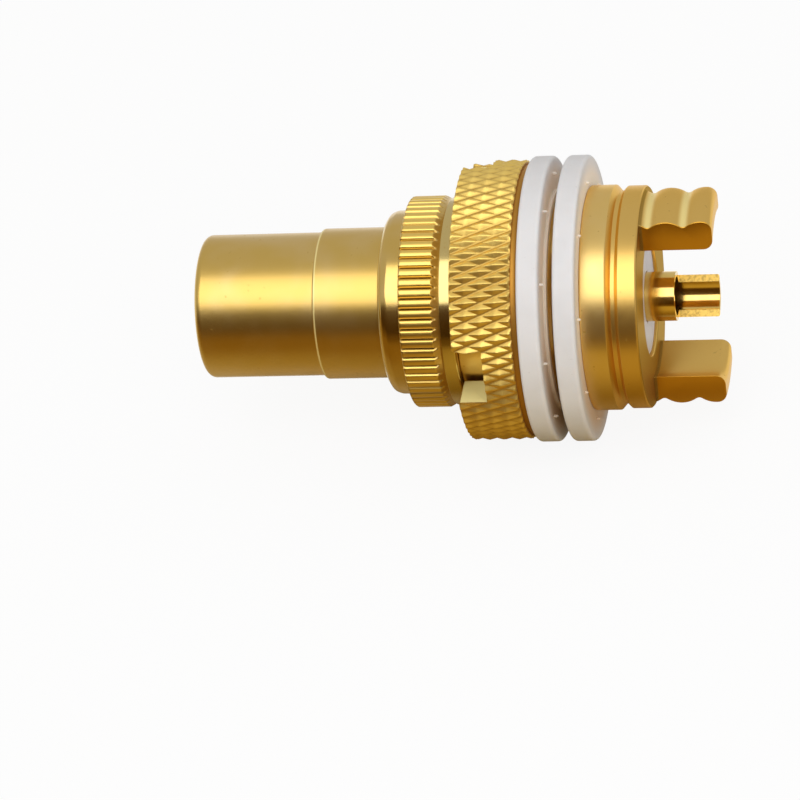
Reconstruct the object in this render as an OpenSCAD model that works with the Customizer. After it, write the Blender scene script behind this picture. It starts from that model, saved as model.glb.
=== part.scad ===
// Panel RCA jack: gold plated two-piece shell, knurled panel nut, two nylon washers,
// two PTFE insulators and a centre contact with a solder cup.
// Every piece is turned about the z axis with the plug end at +z, and stands() then lays
// that axis along y, plug end at -y. The panel rests on the plane z = 0, the front face of
// the rear washer.

/* [Plug barrel] */
// Outside diameter of the barrel that the plug's shell grips
barrel_d = 8.3; // [8:0.05:9]
// Length of the barrel in front of the band
barrel_len = 7; // [5:0.1:9]
// Wall between the barrel's outside and the insulator
barrel_wall = 0.85; // [0.6:0.05:1.1]
// Radius that rounds the barrel's front edge
mouth_round = 0.45; // [0.2:0.05:0.6]
// Chamfer inside the barrel's mouth
mouth_chamfer = 0.2; // [0.1:0.05:0.3]
// Outside diameter of the plain band
band_d = 8.72; // [8.6:0.02:9.6]
// Length of the plain band
band_len = 3.9; // [3:0.1:6]
// Chamfer on the band's front edge
band_chamfer = 0.15; // [0.05:0.01:0.2]
// Outside diameter of the smooth collar
collar_d = 10.6; // [9.8:0.05:11.4]
// Length of the smooth collar
collar_len = 1.4; // [0.8:0.02:2]
// Radius that rounds the collar's front edge
collar_round = 0.45; // [0.2:0.05:0.7]

/* [Grip ring] */
// Diameter over the straight-knurled ring
ring_d = 12.2; // [11.8:0.05:13]
// Length of the ring's full diameter
ring_len = 1.87; // [1:0.02:2.6]
// Length of the cone behind the ring
ring_cone_len = 0.46; // [0.2:0.01:0.8]
// Radial drop of that cone
ring_cone_drop = 0.27; // [0.1:0.01:0.5]
// Bevel on the ring's front edge
ring_bevel = 0.15; // [0.05:0.01:0.3]
// Number of straight ridges
ring_ridges = 64; // [40:2:80]
// Width of a groove between two ridges
ring_groove_w = 0.26; // [0.15:0.01:0.35]
// Depth of a groove between two ridges
ring_groove_depth = 0.18; // [0.08:0.01:0.25]
// Diameter of the polished hub behind the cone
hub_d = 11.96; // [11.7:0.02:12.1]
// Length of the hub
hub_len = 0.82; // [0.5:0.02:1.4]

/* [Rear body] */
// Wall of the spigot that screws into the rear body
spigot_wall = 1.2; // [0.8:0.05:1.3]
// Length of the spigot
spigot_len = 3.1; // [2:0.1:3.6]
// Outside diameter of the smooth neck in front of the panel thread
neck_d = 11; // [10.6:0.05:11.2]
// Outside diameter of the panel thread
thread_d = 11.4; // [11.3:0.02:11.6]
// Distance from the floor of the nut's slots back to the thread's end
thread_set_back = 0.05; // [0:0.01:0.3]
// Outside diameter of the flange
flange_d = 12.9; // [12.6:0.05:13.6]
// Length of the flange
flange_len = 1.54; // [1:0.05:2.5]
// Width of the groove behind the flange
flange_groove_w = 0.46; // [0.3:0.02:0.8]
// Depth of the groove behind the flange
flange_groove_depth = 0.35; // [0.2:0.01:0.5]
// Outside diameter of the rear ring
rear_ring_d = 12.75; // [12.4:0.05:13.4]
// Length of the rear ring
rear_ring_len = 1.25; // [0.8:0.05:2]
// Chamfer on the turned edges of the body
edge_chamfer = 0.12; // [0.05:0.01:0.2]
// Bore that holds the rear insulator
rear_bore_d = 6.8; // [6:0.05:7.4]

/* [Ground tabs] */
// Length of the tabs behind the rear ring
tab_len = 4.08; // [3:0.05:6]
// Width between the milled flats
tab_w = 3.9; // [3:0.1:6]
// Inside diameter of the tabs
tab_inner_d = 9.3; // [8.8:0.05:9.8]
// Diameter over the crests of the tabs' lobed backs
tab_crest_d = 12.7; // [12.4:0.05:12.7]
// Diameter at the valleys between the lobes
tab_valley_d = 11.9; // [11.6:0.05:12.2]
// Distance from one valley to the next
tab_pitch = 2; // [1.8:0.01:2.2]
// Distance from the rear ring to the first valley
tab_first_valley = 0.48; // [0.3:0.01:0.8]
// Radius that rounds the corners of the tabs' ends
tab_end_round = 0.55; // [0.2:0.05:0.55]

/* [Panel nut] */
// Diameter over the diamond knurl
nut_d = 16.1; // [15:0.05:17]
// Distance from the nut to the hub when the nut is slack
nut_gap = 0.1; // [0.05:0.01:0.3]
// Length of the nut
nut_len = 3.83; // [3:0.02:5]
// Plain rim at each end of the knurl
nut_rim = 0.2; // [0.1:0.01:0.4]
// Chamfer on each plain rim
nut_chamfer = 0.15; // [0.05:0.01:0.2]
// Number of diamonds round the nut
knurl_count = 70; // [48:2:84]
// Rows of half diamonds along the nut
knurl_rows = 4; // [3:1:6]
// Depth of the knurl
knurl_depth = 0.3; // [0.15:0.01:0.4]
// Number of spanner slots
slot_count = 3; // [2:1:4]
// Width of a spanner slot
slot_w = 3.55; // [3:0.05:5]
// Depth of a spanner slot
slot_depth = 1.68; // [1:0.02:2.2]
// Turn of the first slot about the axis, in degrees
slot_turn = -2.5; // [-60:0.5:60]

/* [Washers] */
// How far a washer's rim stands out past the nut
washer_margin = 0.15; // [0:0.05:1]
// Thickness of a washer's rim
washer_len = 1.25; // [0.9:0.01:1.6]
// Radius that rounds the rim's edges
washer_round = 0.2; // [0.1:0.05:0.45]
// Diameter of the boss that centres a washer in the panel's hole
boss_d = 12.6; // [12:0.05:14]
// Length of the boss
boss_len = 0.2; // [0.1:0.01:0.35]
// Distance between the rims of the two washers, where the panel goes
panel_gap = 0.79; // [0.75:0.01:2]

/* [Insulators] */
// Set-back of the front insulator behind the barrel's mouth
mouth_recess = 0.5; // [0.2:0.05:1.2]
// Hole in the front insulator for the plug's pin
pin_hole_d = 4; // [3.8:0.05:4.3]
// Length of that hole, in front of the contact
pin_hole_len = 2; // [1:0.1:3]
// Length of the front insulator's flange
front_flange_len = 1.4; // [1.2:0.05:2]
// Length of the rear insulator's flange
rear_flange_len = 1.4; // [1:0.05:2]
// Set-back of the rear insulator behind the rear ring's face
rear_recess = 0.2; // [0.05:0.05:0.6]

/* [Centre contact] */
// Bore of the socket that takes the plug's pin
socket_d = 3.2; // [3.18:0.01:3.3]
// Wall of the socket
socket_wall = 0.6; // [0.4:0.05:0.8]
// Depth of the socket
socket_len = 13.5; // [10:0.1:14]
// Number of slits across the socket
slit_cuts = 2; // [1:1:3]
// Width of a slit
slit_w = 0.35; // [0.2:0.05:0.5]
// Length of a slit
slit_len = 10; // [6:0.1:12]
// Diameter of the contact's shoulder
shoulder_ring_d = 6.2; // [5.4:0.05:7]
// Length of the contact's shoulder
shoulder_ring_len = 0.8; // [0.5:0.05:1]
// Diameter of the contact's shank
stem_d = 2.85; // [2.6:0.05:3.4]
// Length of the round stem behind the rear ring's face
stem_show = 1.5; // [1:0.05:3]
// Length of the open part of the solder cup
cup_len = 2.36; // [1.5:0.05:3]
// Bore of the solder cup
cup_d = 2.2; // [1.6:0.05:2.4]
// Depth of the cup's bore ahead of the open part
cup_bore_len = 2.5; // [2.4:0.05:3.5]
// Distance of the cup's cut plane from the axis
cup_cut = 0.75; // [0.4:0.05:1]
// Turn of the cup's open side about the axis, in degrees
cup_turn = 33; // [-90:1:90]

/* [Clearances] */
// Radial clearance of the screwed fits
screw_clearance = 0.03; // [0.02:0.01:0.06]
// Radial clearance of the pieces that are pushed together
push_clearance = 0.02; // [0.01:0.01:0.05]
// Radial clearance of the washers on the thread
washer_clearance = 0.08; // [0.05:0.01:0.2]
// Radial room for the socket's fingers to open
finger_clearance = 0.15; // [0.1:0.01:0.3]

/* [Hidden] */
$fn = 96;
// Steps in a quarter-round edge
round_steps = 6;
// Steps in one lobe of a tab
lobe_steps = 10;
// How far a cut runs past the surface that it opens
past = 0.2;
// How far a piece's own solids run into each other
into = 0.3;

gold = [0.85, 0.66, 0.26];
bright_gold = [0.93, 0.76, 0.36];
nylon_white = [0.93, 0.92, 0.92];
ptfe_white = [0.96, 0.96, 0.95];

// Places along the axis, from the panel plane forwards
nut_rear = panel_gap + washer_len;
nut_front = nut_rear + nut_len;
slot_floor = nut_front - slot_depth;
hub_rear = nut_front + nut_gap;
hub_front = hub_rear + hub_len;
ring_full = hub_front + ring_cone_len;
ring_front = ring_full + ring_len;
collar_front = ring_front + collar_len;
band_front = collar_front + band_len;
barrel_front = band_front + barrel_len;
spigot_rear = hub_rear - spigot_len;
thread_front = slot_floor - thread_set_back;

// Places along the axis, from the panel plane backwards
flange_front = -washer_len;
groove_front = flange_front - flange_len;
groove_rear = groove_front - flange_groove_w;
rear_face = groove_rear - rear_ring_len;
tab_end = rear_face - tab_len;
cup_front = rear_face - stem_show;
cup_end = cup_front - cup_len;

// The clamped stack inside: spigot, front flange, contact shoulder, rear flange, body seat
stack_plane = spigot_rear - front_flange_len;
body_seat = stack_plane - rear_flange_len;
insulator_front = barrel_front - mouth_recess;
contact_front = insulator_front - pin_hole_len;

// Radii that fit one another
barrel_r = barrel_d / 2;
barrel_bore_r = barrel_r - barrel_wall;
spigot_r = barrel_bore_r + spigot_wall;
body_bore_r = spigot_r + screw_clearance;
flange_seat_r = body_bore_r - push_clearance;
thread_r = thread_d / 2;
nut_bore_r = thread_r + screw_clearance;
washer_bore_r = thread_r + washer_clearance;
rear_bore_r = rear_bore_d / 2;
stem_r = stem_d / 2;
socket_r = socket_d / 2;
finger_r = socket_r + socket_wall;
nut_r = nut_d / 2;
nut_root_r = nut_r - knurl_depth;
washer_r = nut_r + washer_margin;

// Points on an arc about centre c, from angle a to angle b
function arc(c, r, a, b) =
    [for (i = [0:round_steps]) let (t = a + (b - a) * i / round_steps) c + r * [cos(t), sin(t)]];

// Lays the turning axis along y, with the plug end at -y
module stands() {
    rotate([90, 0, 0]) children();
}

// Solid of revolution from an outline in radius and axial place
module turned(outline) {
    rotate_extrude() polygon(outline);
}

// V grooves of the grip ring, cut parallel to the axis
module grip_grooves() {
    ring_r = ring_d / 2;
    // The V is carried out to the cut's far side at the same slope
    cut_half_w = ring_groove_w / 2 * (ring_groove_depth + past) / ring_groove_depth;
    for (i = [0:ring_ridges - 1])
        rotate(i * 360 / ring_ridges)
            translate([0, 0, hub_front])
                linear_extrude(ring_front - hub_front + past)
                    polygon([[ring_r - ring_groove_depth, 0],
                             [ring_r + past, -cut_half_w],
                             [ring_r + past, cut_half_w]]);
}

// Shell that the plug slides over, with its grip ring, polished hub and screwed spigot
module front_barrel() {
    ring_r = ring_d / 2;
    collar_r = collar_d / 2;
    band_r = band_d / 2;
    hub_r = hub_d / 2;
    color(gold) stands() difference() {
        turned(concat(
            [[barrel_bore_r, spigot_rear],
             [spigot_r - edge_chamfer, spigot_rear],
             [spigot_r, spigot_rear + edge_chamfer],
             [spigot_r, hub_rear],
             [hub_r - edge_chamfer, hub_rear],
             [hub_r, hub_rear + edge_chamfer],
             [hub_r, hub_front],
             [ring_r - ring_cone_drop, hub_front],
             [ring_r, ring_full],
             [ring_r, ring_front - ring_bevel],
             [ring_r - ring_bevel, ring_front],
             [collar_r, ring_front]],
            arc([collar_r - collar_round, collar_front - collar_round], collar_round, 0, 90),
            [[band_r, collar_front],
             [band_r, band_front - band_chamfer],
             [band_r - band_chamfer, band_front],
             [barrel_r, band_front]],
            arc([barrel_r - mouth_round, barrel_front - mouth_round], mouth_round, 0, 90),
            [[barrel_bore_r + mouth_chamfer, barrel_front],
             [barrel_bore_r, barrel_front - mouth_chamfer]]));
        grip_grooves();
    }
}

// Point of a tab's lobed back, at distance s behind the rear ring's face
function lobe_point(s) =
    let (rise = (tab_crest_d - tab_valley_d) / 2,
         half = tab_pitch / 2,
         lobe_r = (half * half + rise * rise) / (2 * rise),
         turns = (s - tab_first_valley) / tab_pitch,
         off = (turns - floor(turns)) * tab_pitch - half)
    [tab_crest_d / 2 - lobe_r + sqrt(lobe_r * lobe_r - off * off), rear_face - s];

// The two ground tabs: a lobed ring that two parallel flats cut to strips
module ground_tabs() {
    inner_r = tab_inner_d / 2;
    root_r = tab_valley_d / 2;
    step = tab_pitch / lobe_steps;
    round_start = tab_len - tab_end_round;
    first = ceil(-tab_first_valley / step);
    last = floor((round_start - tab_first_valley) / step);
    back = [for (i = [last:-1:first]) lobe_point(tab_first_valley + i * step)];
    intersection() {
        turned(concat(
            [[inner_r, rear_face + into]],
            arc([inner_r + tab_end_round, tab_end + tab_end_round], tab_end_round, 180, 270),
            arc(lobe_point(round_start) - [tab_end_round, 0], tab_end_round, 270, 360),
            back,
            [[root_r, rear_face],
             [root_r, rear_face + into]]));
        translate([-tab_w / 2, -tab_crest_d, tab_end - past])
            cube([tab_w, 2 * tab_crest_d, tab_len + 2 * past + into]);
    }
}

// Body that takes the panel nut, with its grooved flange and ground tabs
module rear_body() {
    neck_r = neck_d / 2;
    flange_r = flange_d / 2;
    groove_r = flange_r - flange_groove_depth;
    rear_ring_r = rear_ring_d / 2;
    color(gold) stands() union() {
        turned([
            [rear_bore_r + edge_chamfer, rear_face],
            [rear_bore_r, rear_face + edge_chamfer],
            [rear_bore_r, body_seat],
            [body_bore_r, body_seat],
            [body_bore_r, hub_rear],
            [neck_r, hub_rear],
            [neck_r, thread_front],
            [thread_r, thread_front - (thread_r - neck_r)],
            [thread_r, flange_front],
            [flange_r - edge_chamfer, flange_front],
            [flange_r, flange_front - edge_chamfer],
            [flange_r, groove_front],
            [groove_r, groove_front],
            [groove_r, groove_rear],
            [rear_ring_r - edge_chamfer, groove_rear],
            [rear_ring_r, groove_rear - edge_chamfer],
            [rear_ring_r, rear_face + edge_chamfer],
            [rear_ring_r - edge_chamfer, rear_face]]);
        ground_tabs();
    }
}

// Diamond knurl as one closed band. Each row of points alternates between a groove
// crossing and a diamond's crest, and the next row is set over by one point.
module diamond_knurl(low, high) {
    columns = 2 * knurl_count;
    inner_r = nut_root_r - 2 * into;
    row_h = (high - low) / knurl_rows;
    function is_crest(j, k) = (j + k) % 2 == 1 && j > 0 && j < knurl_rows;
    function ring_point(r, k, z) = [r * cos(360 * k / columns), r * sin(360 * k / columns), z];
    outer = [for (j = [0:knurl_rows], k = [0:columns - 1])
             ring_point(is_crest(j, k) ? nut_r : nut_root_r, k, low + j * row_h)];
    inner = [for (z = [low, high], k = [0:columns - 1]) ring_point(inner_r, k, z)];
    first_inner = len(outer);
    function at(j, k) = j * columns + k % columns;
    function in_at(j, k) = first_inner + j * columns + k % columns;
    // Each cell is split along the groove that crosses it
    lattice = [for (j = [0:knurl_rows - 1], k = [0:columns - 1], half = [0, 1])
               (j + k) % 2 == 0
               ? (half == 0 ? [at(j, k), at(j + 1, k + 1), at(j, k + 1)]
                            : [at(j, k), at(j + 1, k), at(j + 1, k + 1)])
               : (half == 0 ? [at(j, k), at(j + 1, k), at(j, k + 1)]
                            : [at(j, k + 1), at(j + 1, k), at(j + 1, k + 1)])];
    inside = [for (k = [0:columns - 1]) [in_at(0, k), in_at(0, k + 1), in_at(1, k + 1), in_at(1, k)]];
    low_end = [for (k = [0:columns - 1]) [at(0, k), at(0, k + 1), in_at(0, k + 1), in_at(0, k)]];
    high_end = [for (k = [0:columns - 1])
                [in_at(1, k), in_at(1, k + 1), at(knurl_rows, k + 1), at(knurl_rows, k)]];
    polyhedron(concat(outer, inner), concat(lattice, inside, low_end, high_end));
}

// Panel nut: threaded ring with a diamond knurl and spanner slots in its front face
module knurled_nut() {
    rim_r = nut_root_r - nut_chamfer / 2;
    color(gold) stands() difference() {
        union() {
            turned([
                [nut_bore_r, nut_rear + nut_chamfer],
                [nut_bore_r + nut_chamfer, nut_rear],
                [rim_r - nut_chamfer, nut_rear],
                [rim_r, nut_rear + nut_chamfer],
                [rim_r, nut_front - nut_chamfer],
                [rim_r - nut_chamfer, nut_front],
                [nut_bore_r + nut_chamfer, nut_front],
                [nut_bore_r, nut_front - nut_chamfer]]);
            diamond_knurl(nut_rear + nut_rim, nut_front - nut_rim);
        }
        for (i = [0:slot_count - 1])
            rotate(slot_turn + i * 360 / slot_count)
                translate([0, -slot_w / 2, slot_floor])
                    cube([nut_d, slot_w, slot_depth + past]);
    }
}

// Nylon washer with its boss towards +z. The rim's boss side is the plane z = 0.
module shouldered_washer() {
    corner_r = washer_r - washer_round;
    turned(concat(
        [[washer_bore_r, -washer_len]],
        arc([corner_r, washer_round - washer_len], washer_round, -90, 0),
        arc([corner_r, -washer_round], washer_round, 0, 90),
        [[boss_d / 2, 0],
         [boss_d / 2, boss_len],
         [washer_bore_r, boss_len]]));
}

// Washer under the nut, its boss towards the panel
module front_washer() {
    color(nylon_white) stands() translate([0, 0, panel_gap]) mirror([0, 0, 1]) shouldered_washer();
}

// Washer on the flange, its boss towards the panel
module rear_washer() {
    color(nylon_white) stands() shouldered_washer();
}

// PTFE sleeve inside the barrel, with a flange that the spigot clamps
module front_insulator() {
    sleeve_r = barrel_bore_r - push_clearance;
    bore_r = finger_r + finger_clearance;
    recess_r = shoulder_ring_d / 2 + push_clearance;
    recess_front = stack_plane + shoulder_ring_len;
    hole_r = pin_hole_d / 2;
    color(ptfe_white) stands() turned([
        [recess_r, stack_plane],
        [flange_seat_r, stack_plane],
        [flange_seat_r, spigot_rear],
        [sleeve_r, spigot_rear],
        [sleeve_r, insulator_front],
        [hole_r + mouth_chamfer, insulator_front],
        [hole_r, insulator_front - mouth_chamfer],
        [hole_r, contact_front],
        [bore_r, contact_front],
        [bore_r, recess_front],
        [recess_r, recess_front]]);
}

// PTFE bush at the rear, with a flange on the body's seat
module rear_insulator() {
    bush_r = rear_bore_r - push_clearance;
    hole_r = stem_r + push_clearance;
    color(ptfe_white) stands() turned([
        [hole_r, rear_face + rear_recess],
        [bush_r, rear_face + rear_recess],
        [bush_r, body_seat],
        [flange_seat_r, body_seat],
        [flange_seat_r, stack_plane],
        [hole_r, stack_plane]]);
}

// Contact: slit socket in front, clamped shoulder, round stem and open solder cup
module centre_contact() {
    shoulder_front = stack_plane + shoulder_ring_len;
    socket_floor = contact_front - socket_len;
    cup_floor = cup_front + cup_bore_len;
    color(bright_gold) stands() difference() {
        turned([
            [0, cup_end],
            [stem_r - edge_chamfer, cup_end],
            [stem_r, cup_end + edge_chamfer],
            [stem_r, stack_plane],
            [shoulder_ring_d / 2, stack_plane],
            [shoulder_ring_d / 2, shoulder_front],
            [finger_r, shoulder_front],
            [finger_r, contact_front],
            [socket_r + mouth_chamfer, contact_front],
            [socket_r, contact_front - mouth_chamfer],
            [socket_r, socket_floor],
            [0, socket_floor]]);
        for (i = [0:slit_cuts - 1])
            rotate(i * 180 / slit_cuts)
                translate([-finger_r - past, -slit_w / 2, contact_front - slit_len])
                    cube([2 * (finger_r + past), slit_w, slit_len + past]);
        translate([0, 0, cup_end - past])
            cylinder(d = cup_d, h = cup_floor - cup_end + past);
        rotate(cup_turn)
            translate([-cup_cut, -stem_d, cup_end - past])
                cube([stem_d, 2 * stem_d, cup_len + past]);
    }
}

front_barrel();
rear_body();
knurled_nut();
front_washer();
rear_washer();
front_insulator();
rear_insulator();
centre_contact();
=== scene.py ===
# %% [markdown]
# # A gold panel RCA jack
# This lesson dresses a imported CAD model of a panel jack. The CAD solids have the right
# sizes and joints, but hard edges and plain colours. Each piece is built again here as a
# finer mesh in the same place, with the small roundings that catch the light, and gets a
# finish made of shader nodes. Lengths are written in millimetres, as on a drawing, and
# only the helpers turn them into Blender's metres.

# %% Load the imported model
import math

import bmesh
import bpy
from mathutils import Matrix, Vector


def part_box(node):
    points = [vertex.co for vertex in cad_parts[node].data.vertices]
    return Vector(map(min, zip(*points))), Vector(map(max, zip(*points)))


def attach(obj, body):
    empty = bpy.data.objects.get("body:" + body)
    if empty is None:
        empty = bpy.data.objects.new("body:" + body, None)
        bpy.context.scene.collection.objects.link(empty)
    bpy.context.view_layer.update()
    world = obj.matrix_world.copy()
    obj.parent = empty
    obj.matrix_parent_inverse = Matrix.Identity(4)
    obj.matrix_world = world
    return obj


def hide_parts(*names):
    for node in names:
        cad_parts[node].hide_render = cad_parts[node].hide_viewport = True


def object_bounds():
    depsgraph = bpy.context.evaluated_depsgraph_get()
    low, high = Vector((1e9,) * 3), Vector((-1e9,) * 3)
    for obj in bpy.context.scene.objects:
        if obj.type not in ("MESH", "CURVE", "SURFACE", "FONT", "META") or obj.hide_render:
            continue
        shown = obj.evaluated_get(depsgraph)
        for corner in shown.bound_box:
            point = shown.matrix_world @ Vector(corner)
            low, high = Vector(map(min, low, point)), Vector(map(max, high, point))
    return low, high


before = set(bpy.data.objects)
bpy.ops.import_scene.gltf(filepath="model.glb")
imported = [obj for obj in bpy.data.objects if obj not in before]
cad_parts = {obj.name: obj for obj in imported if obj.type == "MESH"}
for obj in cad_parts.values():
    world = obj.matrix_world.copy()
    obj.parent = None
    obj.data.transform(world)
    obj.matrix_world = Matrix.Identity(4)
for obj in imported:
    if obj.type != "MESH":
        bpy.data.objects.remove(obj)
cad_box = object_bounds()
MM = 0.001
print("CAD box in mm:", [[round(v / MM, 2) for v in corner] for corner in cad_box])

# %% [markdown]
# ## Where the camera stands
# The photograph looks at the jack from its side, a little from the solder end and well
# from above, through a long lens. A long lens keeps the rings nearly parallel, so the
# camera is a quarter of a metre away and the field is narrow. The camera also leans by a
# few degrees. Its matrix is put together from three directions: right, up and backwards.

# %% Camera
VIEW_AZIMUTH = 102.915
VIEW_ELEVATION = 32.668
VIEW_ROLL = -8.097
VIEW_AIM = Vector((4.6893, -9.8634, -3.6903)) * MM
VIEW_DISTANCE = 246.781 * MM
LENS, SENSOR = 193.5, 36
NEAREST, FURTHEST = 0.01, 20


def view_axes(azimuth, elevation, roll):
    """Right, up and backward directions of a camera that circles the jack."""
    a, e, r = (math.radians(v) for v in (azimuth, elevation, roll))
    back = Vector((math.sin(a) * math.cos(e), -math.cos(a) * math.cos(e), math.sin(e)))
    right = Vector((math.cos(a), math.sin(a), 0))
    up = back.cross(right)
    return (
        math.cos(r) * right + math.sin(r) * up,
        math.cos(r) * up - math.sin(r) * right,
        back,
    )


def add_object(name, data):
    """A new object in the scene, from a camera, a light or a mesh."""
    made = bpy.data.objects.new(name, data)
    bpy.context.scene.collection.objects.link(made)
    return made


def look(azimuth, elevation, roll, aim, distance):
    """A camera at a distance from its aim point, as the scene's own camera."""
    data = bpy.data.cameras.new("photo_view")
    data.lens = LENS
    data.sensor_width = SENSOR
    data.clip_start = NEAREST
    data.clip_end = FURTHEST
    camera = add_object("photo_view", data)
    axes = view_axes(azimuth, elevation, roll)
    place = aim + axes[2] * distance
    camera.matrix_world = Matrix.Translation(place) @ Matrix(axes).transposed().to_4x4()
    bpy.context.scene.camera = camera
    return camera


camera = look(VIEW_AZIMUTH, VIEW_ELEVATION, VIEW_ROLL, VIEW_AIM, VIEW_DISTANCE)
print("camera at mm:", [round(v / MM, 1) for v in camera.location])

# %% [markdown]
# ## Writing shader maths as Python
# A finish is a tree of nodes. Linking them one at a time hides the idea, so one small
# class wraps a socket and gives it Python's operators: `1 - mask` or `rough + 0.1 * grain`
# then adds the Math nodes by itself. The reflected forms, such as `__rsub__`, let a plain
# number stand on the left. Masks come from a smooth step, which is a Map Range node.


# %% Socket class
class Wire:
    """A node's output that takes Python's operators."""

    def __init__(self, finish, socket):
        self.finish = finish
        self.socket = socket

    def math(self, operation, *values):
        return self.finish.node("Math", {"operation": operation}, dict(enumerate(values)))

    def __add__(self, other):
        return self.math("ADD", self, other)

    def __sub__(self, other):
        return self.math("SUBTRACT", self, other)

    def __rsub__(self, other):
        return self.math("SUBTRACT", other, self)

    def __mul__(self, other):
        return self.math("MULTIPLY", self, other)

    def __pow__(self, other):
        return self.math("POWER", self, other)

    __radd__ = __add__
    __rmul__ = __mul__

    def step(self, low, high):
        """0 below low, 1 above high and a smooth rise between."""
        return self.finish.node(
            "MapRange",
            {"interpolation_type": "SMOOTHSTEP"},
            {"Value": self, "From Min": low, "From Max": high},
        )

    def past(self, low, high):
        """The same step for a length, with low and high in millimetres."""
        return self.step(low * MM, high * MM)

    def between(self, low, high, soft):
        """1 from low to high and 0 outside, over a soft width, all in millimetres."""
        return self.past(low - soft, low + soft) * (1 - self.past(high - soft, high + soft))


print("socket class ready: + - * ** and smooth steps")

# %% [markdown]
# ## A finish under construction
# The second class holds a material's tree. One method makes any node: it takes the node's
# type, then its settings, because some of them decide which sockets the node has, and last
# the values or links of its sockets. The other methods are short names for nodes that every
# finish needs. A place on a piece comes from Object coordinates: each piece sits at the
# origin, so they are the jack's own coordinates, and a mask can follow the drawing.


# %% Finish class
class Finish:
    """A material under construction."""

    def __init__(self, name):
        self.material = bpy.data.materials.new(name)
        self.material.use_nodes = True
        self.tree = self.material.node_tree
        self.tree.nodes.clear()

    def node(self, kind, settings=None, inputs=None, output=0):
        made = self.tree.nodes.new("ShaderNode" + kind)
        for key, value in (settings or {}).items():
            setattr(made, key, value)
        for key, value in (inputs or {}).items():
            if isinstance(value, Wire):
                self.tree.links.new(value.socket, made.inputs[key])
            else:
                made.inputs[key].default_value = value
        return Wire(self, made.outputs[output]) if made.outputs else None

    def place(self):
        """The point on the piece, in metres, as a vector wire."""
        return self.node("TexCoord", output="Object")

    def axis(self, letter):
        """The X, Y or Z of that point."""
        return self.node("SeparateXYZ", None, {0: self.place()}, output=letter)

    def radius(self):
        """The point's distance from the jack's axis."""
        x, z = self.axis("X"), self.axis("Z")
        return (x * x + z * z) ** 0.5

    def noise(self, size, detail=2.0):
        """Noise from 0 to 1 whose blobs are about size millimetres across."""
        return self.node(
            "TexNoise", None, {"Vector": self.place(), "Scale": 1 / (size * MM), "Detail": detail}
        )

    def mix(self, mask, below, above):
        """A colour that goes from below to above as the mask goes from 0 to 1."""
        low, high = (v if isinstance(v, Wire) else (*v, 1) for v in (below, above))
        # A Mix node has sockets for every kind of value; 6 and 7 are its two colours.
        return self.node("Mix", {"data_type": "RGBA"}, {"Factor": mask, 6: low, 7: high}, output=2)

    def bump(self, height, depth, strength):
        """A normal from a height of 0 to 1 that stands for depth millimetres."""
        return self.node(
            "Bump", None, {"Height": height, "Distance": depth * MM, "Strength": strength}
        )

    def end(self, shader):
        """Links a shader to the output, and gives the material."""
        self.node("OutputMaterial", None, {"Surface": shader})
        return self.material

    def surface(self, **inputs):
        """Ends in the Principled shader; underscores in names stand for spaces."""
        named = {key.replace("_", " "): value for key, value in inputs.items()}
        return self.end(self.node("BsdfPrincipled", None, named))


print("finish class ready")

# %% [markdown]
# ## The floor
# The background is a plain pale floor. It is lit like the jack and keeps its shadow. What
# the camera sees is mixed with white of strength 1, and so is what metal shows of it, so
# that the floor goes pale without any more light on the jack.

# %% Floor
FLOOR_SPAN = 6.0
FLOOR_GAP = 0.02
FLOOR_WHITE = 0.86
FLOOR_GLOW = 0.9
FLOOR_CORNERS = ((-1, -1), (1, -1), (1, 1), (-1, 1))


def plane(name, corners):
    """A flat four-cornered stage piece from points in metres."""
    mesh = bpy.data.meshes.new(name)
    mesh.from_pydata(corners, [], [range(4)])
    piece = add_object(name, mesh)
    return piece


def floor_paper():
    """Pale paper that reads as white to the camera and in reflections."""
    paper = Finish("floor_paper")
    lit = paper.node("BsdfDiffuse", None, {"Color": (FLOOR_WHITE, FLOOR_WHITE, FLOOR_WHITE, 1)})
    white = paper.node("Emission", None, {"Strength": 1.0})
    seen = [
        paper.node("LightPath", output=name)
        for name in ("Is Camera Ray", "Is Glossy Ray", "Is Transmission Ray")
    ]
    share = seen[0].math("MINIMUM", seen[0] + seen[1] + seen[2], 1.0) * FLOOR_GLOW
    return paper.end(paper.node("MixShader", None, {0: share, 1: lit, 2: white}))


floor_z = cad_box[0][2] - FLOOR_GAP * MM
half = FLOOR_SPAN / 2
floor = plane("floor", [(half * x, half * y, floor_z) for x, y in FLOOR_CORNERS])
floor.data.materials.append(floor_paper())
print("floor at mm:", round(floor_z / MM, 2))

# %% [markdown]
# ## Light
# Polished metal has hardly any colour of its own: it shows what stands around it. One
# softbox hangs over the camera's side and draws the streak along every ring. It reaches
# far towards the solder end and hangs aslant, so that it also lights those faces of the
# knurl that lean that way. The room is an even soft grey. A sun or a point lamp would be
# simpler, but in metal it would show as a hard dot.

# %% Softbox and room
BOX_ANGLE = 45.5
BOX_SLANT = 30.0
BOX_REACH = 0.42
BOX_WIDTH = 0.365
BOX_SHIFT = 0.21
BOX_LENGTH = 1.0
BOX_LEVEL = 1.6
ROOM_LEVEL = 0.6
ROOM_TINT = (1.0, 0.985, 0.96, 1)


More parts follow.
